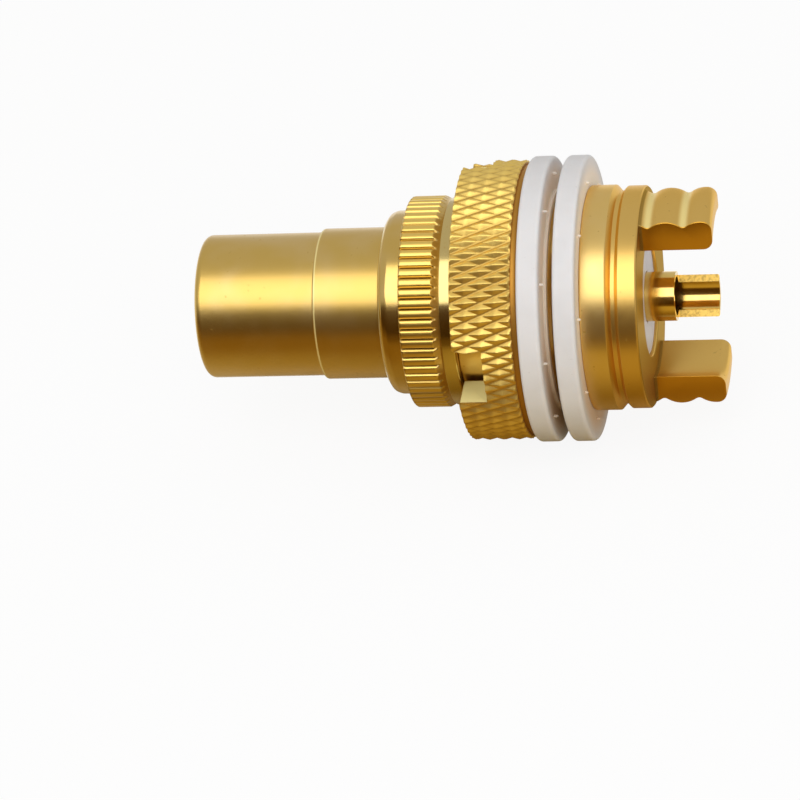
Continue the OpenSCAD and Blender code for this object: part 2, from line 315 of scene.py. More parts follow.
def softbox(angle, slant, reach, shift, width, length, level):
    """An area light about the jack's axis. A level of 1 looks plain white in a mirror."""
    data = bpy.data.lights.new("softbox", "AREA")
    data.shape = "RECTANGLE"
    data.size = width
    data.size_y = length
    data.energy = level * math.pi * width * length
    lamp = add_object("softbox", data)
    a = math.radians(angle)
    out = Vector((math.cos(a), 0, math.sin(a)))
    along = Vector((0, 1, 0))
    facing = Matrix((along.cross(out), along, out)).transposed().to_4x4()
    turn = facing @ Matrix.Rotation(math.radians(-slant), 4, "Z")
    lamp.matrix_world = Matrix.Translation(out * reach) @ turn @ Matrix.Translation((0, shift, 0))
    lamp.visible_camera = False
    return lamp


def even_room(level):
    """A world that is the same soft grey all round."""
    world = bpy.data.worlds.new("grey_room")
    world.use_nodes = True
    sky = world.node_tree.nodes["Background"]
    sky.inputs["Color"].default_value = ROOM_TINT
    sky.inputs["Strength"].default_value = level
    bpy.context.scene.world = world


lamp = softbox(BOX_ANGLE, BOX_SLANT, BOX_REACH, BOX_SHIFT, BOX_WIDTH, BOX_LENGTH, BOX_LEVEL)
even_room(ROOM_LEVEL)
bpy.context.scene.view_settings.view_transform = "Standard"
print("softbox watts:", round(lamp.data.energy, 2))

# %% [markdown]
# ## Cards
# Photographers shape metal with cards just outside the picture, and so does this scene. A
# dark card stands beside the jack and gives each ring its dark band. An amber paper on the
# floor, brown towards the plug end, warms the undersides; next to the jack it carries painted
# shade of the jack. The camera doesn't see the cards, they cast no shadow, and from behind
# they are clear, so other views stay clean.

# %% Cards
CARD_X, CARD_TOP, CARD_REACH, CARD_LIFT = 60.0, 34.0, 200.0, 0.01
PAPER_X = -2.0
UNDER_X, SHADE_X = (2.0, 6.0), (4.0, 14.0)
DARK_X, NUT_Y = (24.0, 36.0), (-13.0, -7.0)
DARK_CARD = (0.14, 0.07, 0.008)
# Painted shadow of the jack: grey-beige right under it.
SHADE_UNDER_JACK = (0.6, 0.5, 0.3)
# Painted shade: the amber is darker on the side near the jack.
AMBER_FAR, AMBER_NEAR = (0.54, 0.38, 0.09), (0.28, 0.17, 0.02)
BROWN_FAR, BROWN_NEAR = (0.29, 0.16, 0.02), (0.52, 0.4, 0.15)


def card(name, corners, paint, colour, warms):
    """Hangs a card that reflections see, and soft light too where it is meant to warm."""
    piece = plane(name, [[v * MM for v in corner] for corner in corners])
    front = paint.node("BsdfDiffuse", None, {"Color": colour})
    clear = paint.node("BsdfTransparent")
    behind = paint.node("NewGeometry", output="Backfacing")
    shader = paint.node("MixShader", None, {0: behind, 1: front, 2: clear})
    piece.data.materials.append(paint.end(shader))
    piece.visible_camera = False
    piece.visible_diffuse = warms
    piece.visible_shadow = False
    piece.visible_transmission = False


def paper_colour(paint):
    """Amber behind the nut, brown in front of it, painted shade near the jack, dark at the card."""
    x = paint.axis("X")
    rear = paint.axis("Y").past(*NUT_Y)
    near_side = paint.mix(rear, BROWN_NEAR, AMBER_NEAR)
    far_side = paint.mix(rear, BROWN_FAR, AMBER_FAR)
    # Painted shadow: grey-beige right under the jack.
    near_side = paint.mix(x.past(*UNDER_X), SHADE_UNDER_JACK, near_side)
    shade = paint.mix(x.past(*SHADE_X), near_side, far_side)
    return paint.mix(x.past(*DARK_X), shade, DARK_CARD)


low = floor_z / MM + CARD_LIFT
paper_sides = [(PAPER_X, -1), (CARD_X, -1), (CARD_X, 1), (PAPER_X, 1)]
paper_corners = [(x, side * CARD_REACH, low) for x, side in paper_sides]
paper = Finish("amber_paper")
card("amber_paper", paper_corners, paper, paper_colour(paper), True)
card_sides = [(1, low), (-1, low), (-1, CARD_TOP), (1, CARD_TOP)]
card_corners = [(CARD_X, side * CARD_REACH, z) for side, z in card_sides]
card("dark_card", card_corners, Finish("dark_card"), (*DARK_CARD, 1), False)
print("cards: amber_paper, dark_card")

# %% [markdown]
# ## Drawing an outline
# Nearly every piece of the jack comes off a lathe, so its shape is an outline along the
# axis. Corners are rounded in the outline itself: a corner is written with its radius, and
# an arc takes its place. A Bevel modifier could do that on the finished mesh, but it also
# rounds ridges that should stay crisp. A spare point on either side of each arc keeps the
# shading of the flats flat.

# %% Rounded outlines
ARC_SHARE = 0.46
SPARE_ARC, SPARE_SIDE = 0.35, 0.05
NEARLY_STRAIGHT = math.radians(89)


def rounded(corners, steps=4):
    """Points of a closed outline from corners (y, r, radius). Radius 0 stays sharp."""
    points = []
    for i, (y, r, radius) in enumerate(corners):
        here = Vector((y, r))
        before = Vector(corners[i - 1][:2])
        after = Vector(corners[(i + 1) % len(corners)][:2])
        to_before = (before - here).normalized()
        to_after = (after - here).normalized()
        half_angle = to_before.angle(to_after) / 2
        if radius == 0 or half_angle > NEARLY_STRAIGHT:
            points.append(here)
            continue
        back_off = radius / math.tan(half_angle)
        room_here = ARC_SHARE * min((before - here).length, (after - here).length)
        if back_off > room_here:
            radius *= room_here / back_off
            back_off = room_here
        centre = here + (to_before + to_after).normalized() * (radius / math.sin(half_angle))
        start = here + to_before * back_off
        spoke = start - centre
        turn = spoke.angle_signed(here + to_after * back_off - centre)
        spare = min(SPARE_ARC * radius, SPARE_SIDE * room_here)
        points.append(start + to_before * spare)
        for k in range(steps + 1):
            a = -turn * k / steps
            cos, sin = math.cos(a), math.sin(a)
            swung = Vector((spoke.x * cos - spoke.y * sin, spoke.x * sin + spoke.y * cos))
            points.append(centre + swung)
        points.append(here + to_after * (back_off + spare))
    return points


def between_points(a, b, count):
    """Outline corners spread evenly along a straight, both ends left out."""
    return [
        (a[0] + (b[0] - a[0]) * k / count, a[1] + (b[1] - a[1]) * k / count, 0)
        for k in range(1, count)
    ]


square = [(0, 1, 0.1), (1, 1, 0.1), (1, 2, 0.1), (0, 2, 0.1)]
print("a rounded square has", len(rounded(square)), "points")

# %% [markdown]
# ## Keeping and combining meshes
# Each mesh is built in a bmesh and then kept as an object. Points that fall together are
# merged, so that no empty face stays behind. Cuts and joins are Boolean modifiers with the
# Manifold solver, which is quick and exact on closed solids. The result is taken from the
# evaluated object, so the piece ends as a plain mesh with no modifier on it.

# %% Mesh helpers
WELD = 0.0001


def weld_into(mesh, made):
    """Merges points that fall together and ends a bmesh in a mesh."""
    bmesh.ops.remove_doubles(made, verts=made.verts, dist=WELD * MM)
    made.to_mesh(mesh)
    made.free()


def keep_mesh(name, made):
    """Ends a bmesh as an object in the scene."""
    mesh = bpy.data.meshes.new(name)
    weld_into(mesh, made)
    return add_object(name, mesh)


def spin(made, turn):
    """Turns a bmesh about the jack's axis by degrees, from +X towards +Z."""
    matrix = Matrix.Rotation(math.radians(-turn), 3, "Y")
    bmesh.ops.rotate(made, verts=made.verts, cent=(0, 0, 0), matrix=matrix)


def swept(name, rows, turn=0):
    """A solid with walls from each row of points to the next and a face on either end."""
    made = bmesh.new()
    rows = [[made.verts.new(point) for point in row] for row in rows]
    for low, high in zip(rows, rows[1:]):
        for k in range(len(low)):
            n = (k + 1) % len(low)
            made.faces.new((low[k], low[n], high[n], high[k]))
    made.faces.new(rows[0])
    made.faces.new(rows[-1])
    spin(made, turn)
    bmesh.ops.recalc_face_normals(made, faces=made.faces)
    return keep_mesh(name, made)


def combine(piece, tools, operation):
    """Applies solid tools to a piece, cutting or joining, and removes the tools."""
    for tool in tools:
        change = piece.modifiers.new("combine", "BOOLEAN")
        change.solver = "MANIFOLD"
        change.operation = operation
        change.object = tool
    bpy.context.view_layer.update()
    graph = bpy.context.evaluated_depsgraph_get()
    whole = bpy.data.meshes.new_from_object(piece.evaluated_get(graph))
    made = bmesh.new()
    made.from_mesh(whole)
    weld_into(whole, made)
    piece.modifiers.clear()
    old = piece.data
    piece.data = whole
    bpy.data.meshes.remove(old)
    for tool in tools:
        bpy.data.meshes.remove(tool.data)


print("points closer than", WELD, "mm are merged")

# %% [markdown]
# ## Turning a piece
# One helper spins an outline about the Y axis. Blender has a Screw modifier for that, but
# here each ring of points can also be reshaped as it is made, which gives grip ridges and
# threads without a cutter.

# %% Lathe
ON_AXIS = 1e-6


def even_columns(count):
    """Angles of columns spread evenly round the axis."""
    return [2 * math.pi * k / count for k in range(count)]


def on_ring(radius, y, angle):
    """The point in metres at a radius and an angle about the axis, at y along it."""
    return (radius * MM * math.cos(angle), y * MM, radius * MM * math.sin(angle))


def turned(name, outline, columns, shape=None):
    """A solid of revolution about Y. shape(y, r, angle) may change a point's radius."""
    made = bmesh.new()
    rings = []
    for y, r in outline:
        if r < ON_AXIS:
            rings.append([made.verts.new((0, y * MM, 0))])
            continue
        ring = []
        for angle in columns:
            radius = shape(y, r, angle) if shape else r
            ring.append(made.verts.new(on_ring(radius, y, angle)))
        rings.append(ring)
    count = len(columns)
    for i, ring in enumerate(rings):
        other = rings[(i + 1) % len(rings)]
        for k in range(count):
            n = (k + 1) % count
            if len(ring) == 1 and len(other) == 1:
                break
            if len(ring) == 1:
                made.faces.new((ring[0], other[n], other[k]))
            elif len(other) == 1:
                made.faces.new((ring[k], ring[n], other[0]))
            else:
                made.faces.new((ring[k], ring[n], other[n], other[k]))
    bmesh.ops.recalc_face_normals(made, faces=made.faces)
    return keep_mesh(name, made)


print("lathe ready")

# %% [markdown]
# ## Dressing a piece
# A finished mesh stands for a node of the CAD model. Smooth shading with sharp edges past an
# angle keeps both round flanks and crisp corners. The print compares the mesh's box with its
# node's.


# %% Dress
def dress(piece, node, body, finish, crease):
    """Shades a piece, gives it its finish and lets it stand for its CAD node."""
    piece.data.shade_smooth()
    piece.data.set_sharp_from_angle(angle=math.radians(crease))
    piece.data.materials.clear()
    piece.data.materials.append(finish)
    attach(piece, body)
    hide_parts(node)
    off = 0.0
    for i, (low, high) in enumerate(zip(*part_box(node))):
        places = [v.co[i] for v in piece.data.vertices]
        off = max(off, abs(min(places) - low), abs(max(places) - high))
    print(f"{piece.name}: {len(piece.data.polygons)} faces, off the CAD box by {off / MM:.3f} mm")


print("ready to dress", len(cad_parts), "nodes")

# %% [markdown]
# ## Satin gold
# All the metal is brass under gold plate. The shell and the body are blasted with fine
# beads, which leaves a silky grain with a few pits, and a thin clear lacquer lies on top.
# Metal needs its colour in Base Color with Metallic at 1; grain is a Bump of a few
# micrometres, and gloss is Roughness. Painted textures could do the rest, but masks by
# place are sharp at any distance: polished stretches, grooves painted full of shade, edges
# and the tabs' valleys painted pale as a highlight, and the milled faces behind the ring,
# with the ring's rear face painted darker as shade.

# %% Satin gold
GOLD_DEEP = (0.64, 0.42, 0.11)
# The grip ring's ridges, and the painted shade in their grooves.
GOLD_KNURL, GROOVE_SHADE = (0.93, 0.65, 0.16), (0.32, 0.19, 0.05)
# The tabs' milled flanks, and the ring's rear face painted darker as shade.
GOLD_MILLED, GOLD_FACE_SHADE = (0.76, 0.39, 0.04), (0.44, 0.28, 0.07)
# Painted highlight: a pale, less metallic gold for edges and valleys; the slots' raw cut walls take
# it too.
PALE_CUT_AND_HIGHLIGHT = (1.0, 0.9, 0.4)
HIGHLIGHT_PALE, HIGHLIGHT_DULL = 0.6, 0.5
LACQUER, LACQUER_ROUGH = 0.25, 0.2
BLAST_DEPTH, BLAST_STRENGTH = 0.004, 0.3
CLOUD_SIZE, BLAST_SIZE, PIT_SIZE, PIT_STEP = 2.5, 0.07, 0.22, (0.81, 0.85)


def tab_masks(gold, face, valley, pitch, radius, side):
    """Masks of the ring's milled face, painted darker as shade, the tabs' milled flanks and the
    pale painted highlight in the lobes' valleys.
    """
    y = gold.axis("Y")
    milled = y.past(face - 0.04, face - 0.02)
    behind = y.past(face + 0.1, face + 0.2)
    flank = y.math("ABSOLUTE", gold.axis("X")).past(side - 0.06, side - 0.03)
    valleys = 1 - y.math("PINGPONG", y - valley * MM, pitch * MM / 2).past(0.08, 0.36)
    # Painted highlight: pale strips in the lobes' valleys.
    highlight_mark = valleys * behind * (1 - flank) * gold.radius().past(radius - 0.1, radius)
    return milled * (1 - behind), flank * behind, highlight_mark


def satin_gold(name, plate, matt, other, graze, polished=(), grooves=None, edges=(), tabs=None):
    """Bead-blasted plate, with another colour on a stretch of Y: other is (low, high, colour).

    graze is the plate's tint where it is seen edge-on. polished lists smooth stretches as
    (low, high, roughness). grooves is (low, high, crest): a stretch where whatever lies under
    the crest is painted dark, as shade. edges are stretches (low, high) painted pale, as a
    highlight. tabs is (face, valley, pitch, radius, side): the place of the milled face,
    which is painted darker as shade; the first valley's; the lobes' pitch; the radius outside
    which valleys are painted pale as a highlight; and half a tab's width.
    """
    gold = Finish(name)
    y = gold.axis("Y")
    cloud = gold.noise(CLOUD_SIZE)
    grain = gold.noise(BLAST_SIZE, 1.0)
    pits = gold.noise(PIT_SIZE, 0.0).step(*PIT_STEP)
    rough = matt + 0.06 * cloud + 0.05 * grain + 0.15 * pits
    depth = grain * (1 - 0.6 * pits) + 0.5 * pits
    for low, high, smooth in polished:
        shine = y.between(low, high, 0.02)
        rough = rough * (1 - shine) + smooth * shine
        depth = depth * (1 - shine)
    pale = [v + 0.12 * (1 - v) for v in plate]
    colour = gold.mix(cloud.step(0.35, 0.8) * 0.6, plate, pale)
    colour = gold.mix(y.between(other[0], other[1], 0.02), colour, other[2])
    colour = gold.mix(pits * 0.6, colour, GOLD_DEEP)
    metal, lacquer = 1.0, LACQUER
    if grooves:
        low, high, crest = grooves
        # Painted shade: below the crest the grooves go dark brown.
        sunk = 1 - gold.radius().past(crest - 0.17, crest - 0.07)
        ridges = gold.mix(sunk, GOLD_KNURL, GROOVE_SHADE)
        colour = gold.mix(y.between(low, high, 0.04), colour, ridges)
    painted_highlights = [y.between(low, high, 0.03) for low, high in edges]
    if tabs:
        faced, flanks, valleys = tab_masks(gold, *tabs)
        painted_highlights.append(valleys)
        colour = gold.mix(flanks, colour, GOLD_MILLED)
        # Painted shade: the ring's rear face is darker.
        colour = gold.mix(faced, colour, GOLD_FACE_SHADE)
        rough = rough * (1 - faced) + (0.42 + 0.12 * grain) * faced
        lacquer = lacquer * (1 - faced)
    # Painted highlight: edges and valleys go pale and less metallic.
    for highlight_mark in painted_highlights:
        colour = gold.mix(highlight_mark * HIGHLIGHT_PALE, colour, PALE_CUT_AND_HIGHLIGHT)
        metal = metal - HIGHLIGHT_DULL * highlight_mark
    return gold.surface(
        Base_Color=colour,
        Metallic=metal,
        Roughness=rough,
        Specular_Tint=(*graze, 1),
        Coat_Weight=lacquer,
        Coat_Roughness=LACQUER_ROUGH,
        Normal=gold.bump(depth, BLAST_DEPTH, BLAST_STRENGTH),
    )


print("satin gold ready")

# %% [markdown]
# ## The grip ring's ridges
# The front shell has a ring of straight ridges to hold it by. They could be cut with 64
# Booleans, but a V groove only lowers the radius, so the lathe takes the smaller of the
# outline and the groove. The tops are crowned a little, lowest beside the grooves' edges,
# which gives each ridge its own streak of light. Columns are packed closer at the groove's
# edges than along the top of a ridge.

# %% Grip ridges
shell_low, shell_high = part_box("front_barrel")
RING_R = shell_high.x / MM
RING_FRONT, RING_FULL = -9.12, -7.25
CONE_R, HUB_FRONT = 5.83, -6.79
RIDGES = 64
GROOVE_HALF, GROOVE_DEPTH, CROWN = 0.13, 0.18, 0.09
RIDGE_COLUMNS = (0.0, 0.15, 0.18, 0.27, 0.38, 0.5, 0.62, 0.73, 0.82, 0.85)


def ridged(y, r, angle):
    """Lowers a point to the crowned ridges and V grooves of the grip ring."""
    if not RING_FRONT - 0.01 < y < HUB_FRONT + 0.01 or r < CONE_R - 0.1:
        return r
    half_pitch = math.pi / RIDGES
    off = abs((angle + half_pitch) % (2 * half_pitch) - half_pitch)
    crown = RING_R - CROWN * (1 - off / half_pitch) ** 2
    groove = RING_R - GROOVE_DEPTH * (1 - off * RING_R / GROOVE_HALF)
    return min(r, crown, groove)


ridge_columns = [(k + f) * 2 * math.pi / RIDGES for k in range(RIDGES) for f in RIDGE_COLUMNS]
print(RIDGES, "ridges,", len(ridge_columns), "columns")

# %% [markdown]
# ## The shell that the plug grips
# One long turned piece: the plug barrel, a plain band, a smooth collar, the grip ring, a
# short cone and the hub. A spigot behind it goes into the body. The hub and the collar are
# polished, and the front edges of the band and the collar are painted pale, as a thin
# highlight.

# %% Front shell
MOUTH_Y, SPIGOT_Y = shell_low.y / MM, shell_high.y / MM
BARREL_R, BORE_R, SPIGOT_R = 4.15, 3.3, 4.5
BAND_R, BAND_FRONT = 4.36, -14.42
COLLAR_R, COLLAR_FRONT = 5.3, -10.52
HUB_R, HUB_REAR = 5.98, -5.97
GOLD_SHELL, GOLD_HUB = (0.71, 0.475, 0.12), (0.7, 0.53, 0.2)
GRAZE_SHELL = (1.0, 1.0, 1.0)
MATT_SHELL, SHINE_HUB, SHINE_COLLAR = 0.27, 0.15, 0.2
# Painted highlight: how far behind each front edge the pale stretch lies.
HIGHLIGHT_FROM, HIGHLIGHT_TO = 0.05, 0.14

shell_outline = [
    (SPIGOT_Y, BORE_R, 0.1),
    (SPIGOT_Y, SPIGOT_R, 0.12),
    (HUB_REAR, SPIGOT_R, 0.05),
    (HUB_REAR, HUB_R, 0.12),
    (HUB_FRONT, HUB_R, 0.05),
    (HUB_FRONT, CONE_R, 0.04),
    *between_points((HUB_FRONT, CONE_R), (RING_FULL, RING_R), 8),
    (RING_FULL, RING_R, 0.04),
    (RING_FRONT, RING_R, 0.12),
    (RING_FRONT, COLLAR_R, 0.12),
    (COLLAR_FRONT + 0.55, COLLAR_R, 0.5),
    (COLLAR_FRONT + 0.2, COLLAR_R - 0.12, 0.4),
    (COLLAR_FRONT, COLLAR_R - 0.45, 0.2),
    (COLLAR_FRONT, BAND_R, 0.12),
    (BAND_FRONT, BAND_R, 0.15),
    (BAND_FRONT, BARREL_R, 0.05),
    (MOUTH_Y, BARREL_R, 0.45),
    (MOUTH_Y, BORE_R, 0.2),
]
shell = turned("front_shell", rounded(shell_outline, 5), ridge_columns, ridged)
shell_gold = satin_gold(
    "satin_gold_shell",
    GOLD_SHELL,
    MATT_SHELL,
    (HUB_FRONT, HUB_REAR, GOLD_HUB),
    GRAZE_SHELL,
    polished=[(HUB_FRONT, HUB_REAR, SHINE_HUB), (COLLAR_FRONT + 0.1, RING_FRONT, SHINE_COLLAR)],
    grooves=(RING_FRONT + 0.12, RING_FULL + 0.05, RING_R),
    edges=[(front + HIGHLIGHT_FROM, front + HIGHLIGHT_TO) for front in (BAND_FRONT, COLLAR_FRONT)],
)
dress(shell, "front_barrel", "jack", shell_gold, crease=38)

# %% [markdown]
# ## Height of the knurl
# A diamond knurl is rolled in: two sets of slanting grooves cross and leave small blunt
# pyramids. As a height field that is the lower of the distances to the two nearest grooves.
# Taken plainly, that gives knife edges, so the lower of the two is blended where they are
# nearly equal, and the floor of a groove is eased. One roll bit deeper than the other, so
# its ridges run on from crest to crest.

# %% Knurl height
KNURL_COUNT, KNURL_ROWS, CELL_STEPS = 70, 4, 8
RIDGE_SOFT, GROOVE_SOFT, SHALLOW_FLOOR = 0.25, 0.12, 0.2


def to_groove(turns):
    """0 on a groove and 1 half way to the next."""
    return 1 - abs(2 * (turns % 1) - 1)


def knurl_height(column, row):
    """Height of the knurl, from 0 in the grooves to 1 on a crest."""
    across = column / (2 * CELL_STEPS)
    along = row / (2 * CELL_STEPS)
    one = to_groove(across + along)
    other = SHALLOW_FLOOR + (1 - SHALLOW_FLOOR) * to_groove(across - along)
    blend = max(RIDGE_SOFT - abs(one - other), 0)
    height = max(min(one, other) - blend**2 / (4 * RIDGE_SOFT), 0)
    eased = height**2 / (2 * GROOVE_SOFT) if height < GROOVE_SOFT else height - GROOVE_SOFT / 2
    return eased / (1 - RIDGE_SOFT / 4 - GROOVE_SOFT / 2)


def splits_upward(column, row):
    """True where a cell follows the knurl better when split from its first to its last corner."""
    middle = knurl_height(column + 0.5, row + 0.5)
    one = knurl_height(column, row) + knurl_height(column + 1, row + 1)
    two = knurl_height(column + 1, row) + knurl_height(column, row + 1)
    return abs(one / 2 - middle) <= abs(two / 2 - middle)


print("height on a crest:", round(knurl_height(CELL_STEPS, 0), 3))

# %% [markdown]
# ## The nut's ring
# The knurl's grid is laid so that both grooves run through its corners, and each cell is
# split along the diagonal that follows the groove. Displacing a fine plain cylinder would
# need many more faces for the same crisp ridges. The knurl runs out over a small chamfer at
# either end, and spare rings on the front face keep its shading flat.

# %% Knurled ring
nut_low, nut_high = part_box("knurled_nut")
NUT_R = nut_high.x / MM
NUT_FRONT, NUT_REAR = nut_low.y / MM, nut_high.y / MM
NUT_BORE, EDGE = 5.73, 0.1
KNURL_DEPTH, KNURL_REAR, KNURL_LEAD = 0.22, 0.36, 0.04
FRONT_CAP, FRONT_SLOPE = 0.1, 1.1
REAR_CAP, REAR_SLOPE = 0.05, 1.3
knurl_root, knurl_rear = NUT_R - KNURL_DEPTH, NUT_REAR - KNURL_REAR


def knurled_ring(name):
    """The nut's solid ring, with the knurl on its outside."""
    made = bmesh.new()
    columns = 2 * CELL_STEPS * KNURL_COUNT
    rows = CELL_STEPS * KNURL_ROWS
    knurl_front = NUT_FRONT + KNURL_LEAD

    def ring(y, radius):
        """A ring of points whose radius is a function of the column."""
        angles = enumerate(even_columns(columns))
        return [made.verts.new(on_ring(radius(k), y, angle)) for k, angle in angles]

    rings = []
    for y, r in (
        (NUT_REAR - EDGE, NUT_BORE),
        (NUT_REAR, NUT_BORE + EDGE),
        (NUT_REAR, knurl_root - 2 * EDGE),
        (NUT_REAR - EDGE, knurl_root - EDGE),
        (knurl_rear, knurl_root - EDGE),
    ):
        rings.append(ring(y, lambda k: r))
    first = len(rings)
    for row in range(rows + 1):
        y = knurl_rear + (knurl_front - knurl_rear) * row / rows
        front_cap = knurl_root + FRONT_CAP + FRONT_SLOPE * (y - NUT_FRONT)
        cap = min(front_cap, knurl_root + REAR_CAP + REAR_SLOPE * (knurl_rear - y))
        rings.append(ring(y, lambda k: min(cap, knurl_root + KNURL_DEPTH * knurl_height(k, row))))
    last = len(rings) - 1
    for y, r in (
        (NUT_FRONT, knurl_root - 0.02),
        (NUT_FRONT, knurl_root - 0.06),
        (NUT_FRONT, NUT_BORE + EDGE + 0.04),
        (NUT_FRONT, NUT_BORE + EDGE),
        (NUT_FRONT + EDGE, NUT_BORE),
    ):
        rings.append(ring(y, lambda k: r))
    for i, low in enumerate(rings):
        high = rings[(i + 1) % len(rings)]
        for k in range(columns):
            n = (k + 1) % columns
            if not first <= i < last:
                made.faces.new((low[k], low[n], high[n], high[k]))
            elif splits_upward(k, i - first):
                made.faces.new((low[k], low[n], high[n]))
                made.faces.new((low[k], high[n], high[k]))
            else:
                made.faces.new((low[k], low[n], high[k]))
                made.faces.new((low[n], high[n], high[k]))
    bmesh.ops.recalc_face_normals(made, faces=made.faces)
    return keep_mesh(name, made)


nut = knurled_ring("panel_nut")
print("knurl root at mm:", round(knurl_root, 2))

# %% [markdown]
# ## Knurled gold
# The nut is plated like the rest. Its knurl's grooves are painted darker as shade, and the
# height above the root tells where; a cloud mixes two golds over the knurl. The walls of
# the slots are raw pale cuts, painted paler still as a highlight, and the plain rim at the
# rear is painted brown as the shade beside the washer.

# %% Knurled gold
# A brighter gold for the knurl's cloud, and the brown painted on the rear rim as shade.
GOLD_CREST, RIM_SHADE = (0.95, 0.7, 0.21), (0.55, 0.28, 0.05)
ROLL_GRAIN, ROLL_CLOUD = 0.09, 1.2


def knurled_gold(name, root, bore, front, floor, rim):
    """Gold on the knurl with painted shade in its grooves, pale cuts and painted highlight on the
    slots' walls, painted shade on the rim.
    """
    gold = Finish(name)
    radius = gold.radius()
    height = radius.past(root - 0.02, root + 0.1)
    y = gold.axis("Y")
    # Pale cut and painted highlight: the slots' walls.
    walls = radius.between(bore + 0.06, root - 0.06, 0.02)
    walls = walls * y.between(front + 0.06, floor - 0.05, 0.02)
    grain = gold.noise(ROLL_GRAIN)
    cloud = gold.noise(ROLL_CLOUD)
    # Painted shade: the knurl goes deep gold below its crests.
    colour = gold.mix(height, GOLD_DEEP, gold.mix(cloud, GOLD_KNURL, GOLD_CREST))
    # Painted shade: the plain rim at the rear is brown beside the washer.
    colour = gold.mix(y.past(rim - 0.04, rim + 0.02), colour, RIM_SHADE)
    rough = 0.46 - 0.08 * height + 0.08 * grain
    return gold.surface(
        Base_Color=gold.mix(walls, colour, PALE_CUT_AND_HIGHLIGHT),
        Metallic=1 - 0.85 * walls,
        Roughness=rough * (1 - walls) + 0.5 * walls,
        Normal=gold.bump(grain, 0.006, 0.4),
    )


print("knurled gold ready")

# %% [markdown]
# ## The nut's slots
# Three slots in the nut's front face take a spanner. On the real nut they are milled right
# across the ring, so here a bar is cut out of it three times. The bar's section widens a
# little at the front, which leaves the slots' mouths eased.

# %% Panel nut
SLOTS, SLOT_W, SLOT_DEPTH, SLOT_TURN, SLOT_EASE = 3, 3.55, 1.68, -2.5, 0.08
SLOT_ENDS = (2, 2 * NUT_R)
slot_floor = NUT_FRONT + SLOT_DEPTH


def slot_cutter(turn):
    """A bar with eased front edges that cuts one spanner slot."""
    half_w = SLOT_W / 2
    side = [
        (half_w - SLOT_EASE, slot_floor),
        (half_w, slot_floor - SLOT_EASE),
        (half_w, NUT_FRONT + SLOT_EASE),
        (half_w + SLOT_EASE, NUT_FRONT),
        (half_w + SLOT_EASE, NUT_FRONT - 1),
    ]
    section = [(-t, y) for t, y in reversed(side)] + side
    rows = [[(x * MM, y * MM, t * MM) for t, y in section] for x in SLOT_ENDS]
    return swept("slot_cutter", rows, turn)


combine(nut, [slot_cutter(SLOT_TURN + k * 360 / SLOTS) for k in range(SLOTS)], "DIFFERENCE")
nut_gold = knurled_gold("knurled_gold", knurl_root, NUT_BORE, NUT_FRONT, slot_floor, knurl_rear)
dress(nut, "knurled_nut", "nut", nut_gold, crease=50)

# %% [markdown]
# ## White plastics
# The washers are natural nylon: milky, with light that spreads a little inside, a silky
# gloss and faint flow clouds from the mould. Inside their rims the gold's warm bounce light
# is painted on, with painted shade that grows darker towards the bottom. The insulators are
# PTFE, which is smoother, waxier and a touch cooler. Subsurface light gives both the soft
# look; its radius is kept far below the washer's thickness so that the edges stay crisp.

# %% Plastic finishes
NYLON, NYLON_DULL = (0.72, 0.71, 0.715), (0.68, 0.67, 0.675)
# Painted warm bounce light inside the washers' rims, and painted shade below it.
NYLON_PAINTED_BOUNCE, NYLON_PAINTED_SHADE = (0.97, 0.84, 0.71), (0.68, 0.52, 0.38)
PTFE, PTFE_DULL = (0.70, 0.68, 0.70), (0.62, 0.60, 0.63)
SPECK = (0.35, 0.31, 0.28)
BOUNCE_SHADE_Z = (-5, 3)
FLOW_SIZE, SKIN_SIZE, SPECK_SIZE, SPECK_STEP = 2.2, 0.15, 0.2, (0.82, 0.86)


def milky_plastic(name, clean, dull, rough, spread, rim=None):
    """A white plastic with flow clouds and a little light inside, and painted warm bounce light and
    shade inside its rim.
    """
    white = Finish(name)
    cloud = white.noise(FLOW_SIZE, 3.0)
    grain = white.noise(SKIN_SIZE)
    specks = white.noise(SPECK_SIZE, 0.0).step(*SPECK_STEP)
    colour = white.mix(cloud.step(0.35, 0.75), clean, dull)
    colour = white.mix(specks * 0.15, colour, SPECK)
    if rim:
        # Painted bounce light and shade: warm inside the rim, darker towards the bottom.
        inside = 1 - white.radius().past(rim - 1.3, rim - 0.05)
        painted_bounce = white.mix(white.axis("Z").past(*BOUNCE_SHADE_Z), NYLON_PAINTED_SHADE, NYLON_PAINTED_BOUNCE)
        colour = white.mix(inside, colour, painted_bounce)
    return white.surface(
        Base_Color=colour,
        Roughness=rough + 0.12 * grain,
        Subsurface_Weight=0.5,
        Subsurface_Radius=(1.0, 0.85, 0.75),
        Subsurface_Scale=spread * MM,
        Normal=white.bump(grain, 0.006, 0.4),
    )


washer_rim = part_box("rear_washer")[1].x / MM
washer_white = milky_plastic(
    "milky_nylon", NYLON, NYLON_DULL, rough=0.5, spread=0.5, rim=washer_rim
)
sleeve_white = milky_plastic("waxy_ptfe", PTFE, PTFE_DULL, rough=0.38, spread=0.2)
print("plastic finishes:", washer_white.name, sleeve_white.name)

# %% [markdown]
# ## Two nylon washers
# The washers are alike and face each other, so one helper makes both. Each is a moulded
# disc with soft edges and a low boss towards the panel. Only the outline is mirrored. A
# ring of tiny nubs, where the mould's pins pushed the washer out, stands on one face. They
# are joined to the disc by a Boolean, so each washer stays one closed mesh.

# %% Washers
WASHER_BORE, BOSS_R, BOSS_LEN = 5.78, 6.3, 0.2
WASHER_ROUND, WASHER_COLUMNS = 0.2, 192
NUB_R = 0.09
# Count, radius, first turn in degrees and height of each washer's nubs.
FRONT_NUBS = (10, 7.3, 2.2, 0.26)
REAR_NUBS = (9, 6.95, 22, 0.18)


